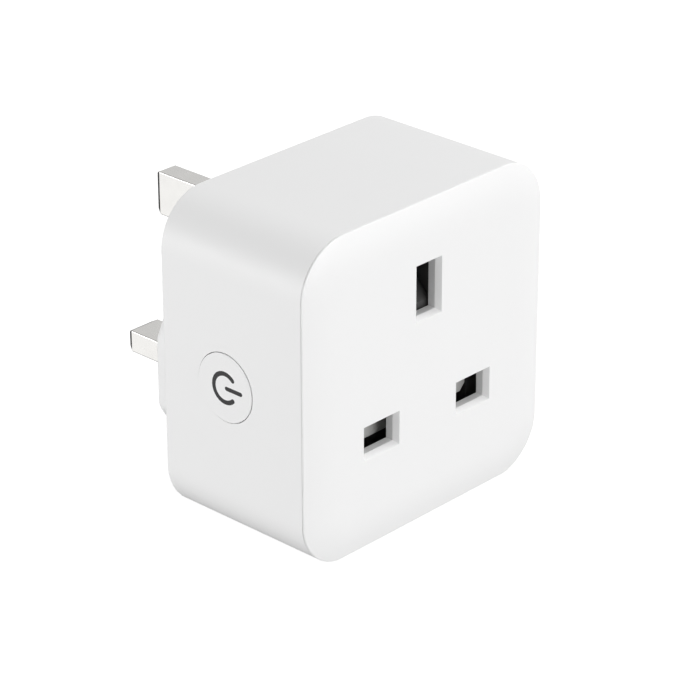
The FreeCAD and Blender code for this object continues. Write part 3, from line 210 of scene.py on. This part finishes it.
def plated(name, colour, rough, stretch):
    """Plated metal: bright, with fine drawing lines along one axis and faint handling marks."""
    look = Look(name, Metallic=1.0)
    lines = look.noise(0.25 * MM, 2.0, 0.5, look.stretched(stretch))
    marks = look.noise(3.0 * MM, 5.0, 0.65)
    look.colour(look.blend(look.span(marks, 0.0, 1.0, 0.35, 0.65), shade(colour, 0.95), colour))
    both = look.node("ShaderNodeMath", {0: lines, 1: marks}, operation="MULTIPLY").outputs[0]
    look.roughness(look.span(both, rough * 0.7, rough * 1.5, 0.1, 0.45))
    look.relief(lines, 0.0015 * MM)
    return look.material


def stamped(name, colour, tarnish, rough):
    """Stamped strip: rolling lines, with darker tarnish in patches."""
    look = Look(name, Metallic=1.0)
    rolled = look.noise(0.2 * MM, 2.0, 0.5, look.stretched(ROLLED_ALONG_Z))
    patches = look.noise(1.8 * MM, 6.0, 0.7)
    look.colour(look.blend(look.span(patches, 0.0, 1.0, 0.42, 0.66), colour, tarnish))
    look.roughness(look.span(patches, rough * 0.8, rough * 1.7, 0.3, 0.7))
    look.relief(rolled, 0.003 * MM)
    return look.material


def track_lines(look, place, axis):
    """Narrow parallel lines, spaced along an axis."""
    inputs = {"Vector": place, "Scale": math.tau / WAVE_UNIT / TRACK_PITCH}
    wave = look.node("ShaderNodeTexWave", inputs,
                     wave_type="BANDS", bands_direction=axis, wave_profile="SIN")
    return look.span(wave.outputs["Fac"], 0.0, 1.0, *TRACK_EDGES)


def board(name, colour):
    """Circuit board: solder mask over copper tracks, which run upright or level in blocks."""
    look = Look(name, IOR=1.52, Coat_Weight=0.35, Coat_Roughness=0.12)
    way = look.node("ShaderNodeSeparateXYZ", {"Vector": look.place}).outputs
    across = look.node("ShaderNodeMath", {0: way["X"], 1: way["Y"]}, operation="ADD").outputs[0]
    flat = look.node("ShaderNodeCombineXYZ", {"X": across, "Y": way["Z"]}).outputs["Vector"]
    block_inputs = {"Vector": flat, "Scale": 1.0 / TRACK_BLOCK}
    blocks = look.node("ShaderNodeTexVoronoi", block_inputs,
                       voronoi_dimensions="2D", distance="CHEBYCHEV")
    pick = look.node("ShaderNodeSeparateColor", {"Color": blocks.outputs["Color"]}).outputs
    upright = look.above(pick["Red"], 1.0 - UPRIGHT_SHARE)
    present = look.above(pick["Green"], BARE_SHARE)
    either = look.node("ShaderNodeMix", {"Factor": upright})
    look.feed(either.inputs["A"], track_lines(look, flat, "Y"))
    look.feed(either.inputs["B"], track_lines(look, flat, "X"))
    shown = {0: either.outputs["Result"], 1: present}
    tracks = look.node("ShaderNodeMath", shown, operation="MULTIPLY").outputs[0]
    weave = look.node("ShaderNodeTexBrick", {"Vector": flat, "Scale": 1.0 / WEAVE_PITCH}).outputs["Fac"]
    tint = look.blend(look.noise(6 * MM, 3.0), shade(colour, 0.86), shade(colour, 1.1))
    look.colour(look.blend(tracks, tint, shade(colour, 1.75)))
    look.roughness(look.span(look.noise(1.2 * MM, 4.0), 0.26, 0.42))
    raised = {0: weave, 1: WEAVE_HEIGHT, 2: tracks}
    height = look.node("ShaderNodeMath", raised, operation="MULTIPLY_ADD")
    look.relief(height.outputs[0], 0.03 * MM)
    return look.material


def wound(name, colour):
    """Enamelled wire: a clear coat over copper, with slight changes of tone along the turns."""
    look = Look(name, Metallic=0.85, Coat_Weight=0.6, Coat_Roughness=0.15)
    look.colour(look.blend(look.noise(1.5 * MM, 3.0), shade(colour, 0.82), shade(colour, 1.1)))
    look.roughness(look.span(look.noise(0.8 * MM, 3.0), 0.22, 0.38))
    look.relief(look.noise(0.1 * MM, 2.0), 0.001 * MM)
    return look.material


def cast(name, colour, rough, grain, depth):
    """Sintered, dipped or cemented parts: a coarse pitted surface."""
    look = Look(name, IOR=1.55)
    pit_inputs = {"Vector": look.place, "Scale": 1.0 / grain}
    pits = look.node("ShaderNodeTexVoronoi", pit_inputs).outputs["Distance"]
    look.colour(look.blend(look.noise(2 * MM, 5.0, 0.6), shade(colour, 0.8), shade(colour, 1.15)))
    look.roughness(look.span(look.noise(1 * MM, 4.0), rough * 0.85, rough * 1.15))
    look.relief(pits, depth)
    return look.material


def printed(name, colour):
    """Pad-printed ink: dense, with a very slight mottle and orange peel."""
    look = Look(name, IOR=1.45)
    look.colour(look.blend(look.noise(0.5 * MM, 4.0, 0.6), shade(colour, 0.85), shade(colour, 1.2)))
    look.roughness(look.span(look.noise(0.9 * MM, 3.0), 0.42, 0.56))
    look.relief(look.noise(0.12 * MM, 3.0), 0.003 * MM)
    return look.material


def lens(name, colour):
    """Clear epoxy of a small light."""
    look = Look(name, IOR=1.5, Transmission_Weight=0.65)
    look.colour(look.blend(look.noise(0.6 * MM, 3.0), shade(colour, 0.92), colour))
    look.roughness(look.span(look.noise(0.4 * MM, 3.0), 0.12, 0.24))
    look.relief(look.noise(0.3 * MM, 2.0), 0.002 * MM)
    return look.material


def materials():
    """One look for each of the record's material slots."""
    return {
        "cover_white": moulded("white_cover", rgb(0.86, 0.86, 0.86), 0.36,
                               grain=0.30 * MM, depth=0.003 * MM, drift=0.008),
        "case_white": moulded("white_casing", rgb(0.84, 0.84, 0.84), 0.46,
                              grain=0.24 * MM, depth=0.006 * MM, drift=0.008),
        "nickel": plated("nickel_plate", rgb(0.80, 0.79, 0.77), 0.2, ALONG_Y),
        "sleeve_black": moulded("black_sleeve", rgb(0.022, 0.022, 0.023), 0.42),
        "mark_grey": printed("printed_mark", rgb(0.014, 0.014, 0.015)),
        "switch_black": moulded("switch_plastic", rgb(0.03, 0.03, 0.032), 0.5),
        "board_green": board("green_board", rgb(0.018, 0.14, 0.05)),
        "light_lens": lens("clear_lens", rgb(0.9, 0.92, 0.86)),
        "shutter_grey": moulded("grey_shutter", rgb(0.42, 0.42, 0.41), 0.4, grain=0.3 * MM),
        "carrier_black": moulded("black_carrier", rgb(0.05, 0.05, 0.05), 0.4,
                                 grain=0.3 * MM, depth=0.005 * MM, drift=0.05),
        "spring_steel": plated("spring_wire", rgb(0.62, 0.61, 0.59), 0.25, ALONG_Z),
        "contact_brass": stamped("contact_strip", rgb(0.80, 0.60, 0.28), rgb(0.42, 0.27, 0.11), 0.26),
        "copper": stamped("copper_strip", rgb(0.86, 0.45, 0.28), rgb(0.40, 0.17, 0.09), 0.3),
        "screw_steel": plated("zinc_plate", rgb(0.66, 0.66, 0.63), 0.3, ALONG_Y),
        "relay_black": moulded("relay_case", rgb(0.025, 0.03, 0.045), 0.48,
                               grain=0.2 * MM, depth=0.008 * MM),
        "bobbin_white": moulded("bobbin_plastic", rgb(0.72, 0.70, 0.62), 0.5),
        "relay_iron": plated("relay_iron", rgb(0.50, 0.49, 0.47), 0.34, ALONG_Z),
        "capacitor_can": moulded("can_sleeve", rgb(0.03, 0.045, 0.10), 0.28,
                                 grain=0.5 * MM, depth=0.002 * MM),
        "ferrite": cast("ferrite_core", rgb(0.05, 0.05, 0.052), 0.6, 0.25 * MM, 0.02 * MM),
        "film_box": moulded("film_case", rgb(0.70, 0.48, 0.05), 0.42),
        "varistor_blue": cast("blue_epoxy", rgb(0.02, 0.10, 0.38), 0.35, 0.5 * MM, 0.015 * MM),
        "resistor_green": cast("cement_coat", rgb(0.16, 0.34, 0.27), 0.5, 0.3 * MM, 0.01 * MM),
        "chip_black": moulded("chip_plastic", rgb(0.022, 0.022, 0.024), 0.58,
                              grain=0.12 * MM, depth=0.008 * MM),
        "shield_tin": plated("tin_plate", rgb(0.74, 0.73, 0.70), 0.3, ALONG_Z),
        "header_black": moulded("header_plastic", rgb(0.025, 0.025, 0.027), 0.5),
    }


def dress(frame):
    """Each CAD node gets the look of its material slot."""
    looks = materials()
    for subpart in frame["record"]["subparts"]:
        node = frame["nodes"][subpart["node"]]
        for place in node.material_slots:
            place.material = looks[subpart["material_slot"]]
    return looks


# ---------------------------------------------------------------- wound pieces
def helix(middle, radius, start, end, turns, axis):
    """Points along a helix round the Y or Z axis, and the way outwards at each."""
    points = []
    outward = []
    count = int(turns * HELIX_STEPS)
    for index in range(count + 1):
        share = index / count
        angle = math.tau * turns * share
        out = Vector((math.cos(angle), 0.0, 0.0))
        along = start + (end - start) * share
        if axis == "Y":
            out.z = math.sin(angle)
            place = Vector((middle[0], along, middle[1]))
        else:
            out.y = math.sin(angle)
            place = Vector((middle[0], middle[1], along))
        points.append(place + out * radius)
        outward.append(out)
    return points, outward


def add_wire(mesh, points, outward, radius):
    """A round wire swept along points, with closed ends."""
    rings = []
    for index, point in enumerate(points):
        ahead = points[min(index + 1, len(points) - 1)] - points[max(index - 1, 0)]
        across = ahead.normalized().cross(outward[index]).normalized()
        ring = []
        for side in range(WIRE_SIDES):
            angle = math.tau * side / WIRE_SIDES
            spoke = outward[index] * math.cos(angle) + across * math.sin(angle)
            ring.append(mesh.verts.new(point + spoke * radius))
        rings.append(ring)
    for first, second in zip(rings, rings[1:]):
        for side in range(WIRE_SIDES):
            after = (side + 1) % WIRE_SIDES
            mesh.faces.new((first[side], first[after], second[after], second[side]))
    mesh.faces.new(list(reversed(rings[0])))
    mesh.faces.new(rings[-1])


def add_tube(mesh, middle, inner, outer, start, end):
    """A plain tube round the Y axis, which fills a winding beneath its outer turns."""
    rings = []
    for radius, y in ((inner, start), (outer, start), (outer, end), (inner, end)):
        ring = []
        for step in range(HELIX_STEPS):
            angle = math.tau * step / HELIX_STEPS
            place = (middle[0] + radius * math.cos(angle), y, middle[1] + radius * math.sin(angle))
            ring.append(mesh.verts.new(place))
        rings.append(ring)
    for index, first in enumerate(rings):
        second = rings[(index + 1) % len(rings)]
        for step in range(HELIX_STEPS):
            after = (step + 1) % HELIX_STEPS
            mesh.faces.new((first[step], first[after], second[after], second[step]))


def finished(name, mesh, look, node):
    """A piece made from a mesh, which stands for a CAD node on the fixed body."""
    bmesh.ops.recalc_face_normals(mesh, faces=mesh.faces)
    data = bpy.data.meshes.new(name)
    mesh.to_mesh(data)
    mesh.free()
    data.materials.append(look)
    for polygon in data.polygons:
        polygon.use_smooth = True
    piece = linked(name, data)
    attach(piece, "root")
    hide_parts(node)
    return piece


def add_winding(name, node, middle, inner, outer, reach, wire):
    """A copper winding: a tube with close round turns over it."""
    mesh = bmesh.new()
    start, end = reach
    core = outer - wire
    add_tube(mesh, middle, inner, core, start, end)
    turns = (end - start - 2 * END_INSET * wire) / (TURN_PITCH * wire)
    inset = wire * END_INSET
    points, outward = helix(middle, outer - wire / 2, start + inset, end - inset, turns, "Y")
    add_wire(mesh, points, outward, wire / 2)
    finished(name, mesh, wound(name, rgb(0.72, 0.27, 0.13)), node)


def add_shutter_spring(look):
    """The shutter's spring, which shortens as the shutter goes down."""
    mesh = bmesh.new()
    low = SPRING_SEAT + SPRING_WIRE_RADIUS
    high = SPRING_HEAD - SPRING_WIRE_RADIUS
    points, outward = helix(SPRING_MIDDLE, SPRING_RADIUS, low, high, SPRING_TURNS, "Z")
    add_wire(mesh, points, outward, SPRING_WIRE_RADIUS)
    spring = finished("shutter_spring_coil", mesh, look, "shutter_spring")
    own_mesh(spring)


def add_inner_pieces(looks):
    """The pieces that are finer than their CAD nodes, or that change shape."""
    add_winding("relay_coil_turns", "relay_coil", *RELAY_WINDING)
    add_winding("choke_turns", "choke_winding", *CHOKE_WINDING)
    add_shutter_spring(looks["spring_steel"])


# ---------------------------------------------------------------- studio
def direction(azimuth, elevation):
    """From the object towards an azimuth, which is 0 straight in front of it, and an elevation."""
    around = math.radians(azimuth)
    up = math.radians(elevation)
    flat = math.cos(up)
    return Vector((math.sin(around) * flat, -math.cos(around) * flat, math.sin(up)))


def aimed(thing, place, target, roll=0.0):
    """A camera or light put at a place and turned to a target."""
    turn = (target - place).to_track_quat("-Z", "Y").to_matrix().to_4x4()
    thing.matrix_world = Matrix.Translation(place) @ turn @ Matrix.Rotation(math.radians(roll), 4, "Z")


def linked(name, data):
    thing = bpy.data.objects.new(name, data)
    bpy.context.scene.collection.objects.link(thing)
    return thing


def add_camera():
    data = bpy.data.cameras.new("camera")
    data.lens = CAMERA_LENS
    data.sensor_width = CAMERA_SENSOR
    data.clip_start = CLIP_NEAR
    data.clip_end = CLIP_FAR
    camera = linked("camera", data)
    back = direction(CAMERA_AZIMUTH, CAMERA_ELEVATION)
    aimed(camera, CAMERA_AIM + back * CAMERA_DISTANCE, CAMERA_AIM, CAMERA_ROLL)
    bpy.context.scene.camera = camera


def add_softboxes(centre):
    for name, (azimuth, elevation, width, height, power) in SOFTBOXES.items():
        data = bpy.data.lights.new(name, "AREA")
        data.shape = "RECTANGLE"
        data.size = width
        data.size_y = height
        data.energy = power
        place = centre + direction(azimuth, elevation) * LIGHT_DISTANCE
        aimed(linked(name, data), place, centre)


def add_sky():
    """An even studio, with a pale wall, a pale card and an unlit corner for the metal to reflect."""
    world = bpy.data.worlds.new("studio_sky")
    world.use_nodes = True
    tree = world.node_tree
    towards = tree.nodes.new("ShaderNodeTexCoord").outputs["Generated"]
    level = None
    for name, (azimuth, elevation, inner, outer, patch_level) in SKY_PATCHES.items():
        facing = tree.nodes.new("ShaderNodeVectorMath")
        facing.operation = "DOT_PRODUCT"
        facing.inputs[1].default_value = direction(azimuth, elevation)
        tree.links.new(towards, facing.inputs[0])
        mask = tree.nodes.new("ShaderNodeMapRange")
        mask.interpolation_type = "SMOOTHSTEP"
        mask.inputs["From Min"].default_value = math.cos(math.radians(outer))
        mask.inputs["From Max"].default_value = math.cos(math.radians(inner))
        tree.links.new(facing.outputs["Value"], mask.inputs["Value"])
        mix = tree.nodes.new("ShaderNodeMix")
        mix.name = name
        mix.inputs["A"].default_value = SKY_LEVEL
        mix.inputs["B"].default_value = patch_level
        tree.links.new(mask.outputs["Result"], mix.inputs["Factor"])
        if level:
            tree.links.new(level, mix.inputs["A"])
        level = mix.outputs["Result"]
    tree.links.new(level, tree.nodes["Background"].inputs["Strength"])
    tree.nodes["Background"].inputs["Color"].default_value = WHITE
    bpy.context.scene.world = world


def add_floor(height):
    """A plain pale floor that glows a little, as on a light table."""
    look = Look("studio_floor", Roughness=FLOOR_ROUGHNESS, Emission_Strength=FLOOR_GLOW)
    look.shader.inputs["Specular IOR Level"].default_value = 0.0
    look.shader.inputs["Emission Color"].default_value = WHITE
    look.shader.inputs["Base Color"].default_value = shade(WHITE, FLOOR_ALBEDO)
    mesh = bpy.data.meshes.new("studio_floor")
    reach = FLOOR_REACH
    corners = [(-reach, -reach, height), (reach, -reach, height),
               (reach, reach, height), (-reach, reach, height)]
    mesh.from_pydata(corners, [], [(0, 1, 2, 3)])
    mesh.materials.append(look.material)
    floor = linked("studio_floor", mesh)
    floor.visible_diffuse = False
    floor.visible_glossy = False


def add_studio(low, high):
    centre = (low + high) / 2
    add_camera()
    add_softboxes(centre)
    add_sky()
    add_floor(low.z)
    settings = bpy.context.scene.view_settings
    settings.view_transform = "Standard"
    settings.look = "None"


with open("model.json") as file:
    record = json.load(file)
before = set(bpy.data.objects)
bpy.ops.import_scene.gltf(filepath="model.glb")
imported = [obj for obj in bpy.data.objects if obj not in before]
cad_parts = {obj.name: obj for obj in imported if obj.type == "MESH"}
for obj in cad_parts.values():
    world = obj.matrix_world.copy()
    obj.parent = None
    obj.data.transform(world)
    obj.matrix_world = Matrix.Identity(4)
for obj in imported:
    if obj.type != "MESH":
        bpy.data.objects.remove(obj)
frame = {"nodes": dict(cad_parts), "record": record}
frame_low, frame_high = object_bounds()
looks = dress(frame)
add_inner_pieces(looks)
add_studio(frame_low, frame_high)
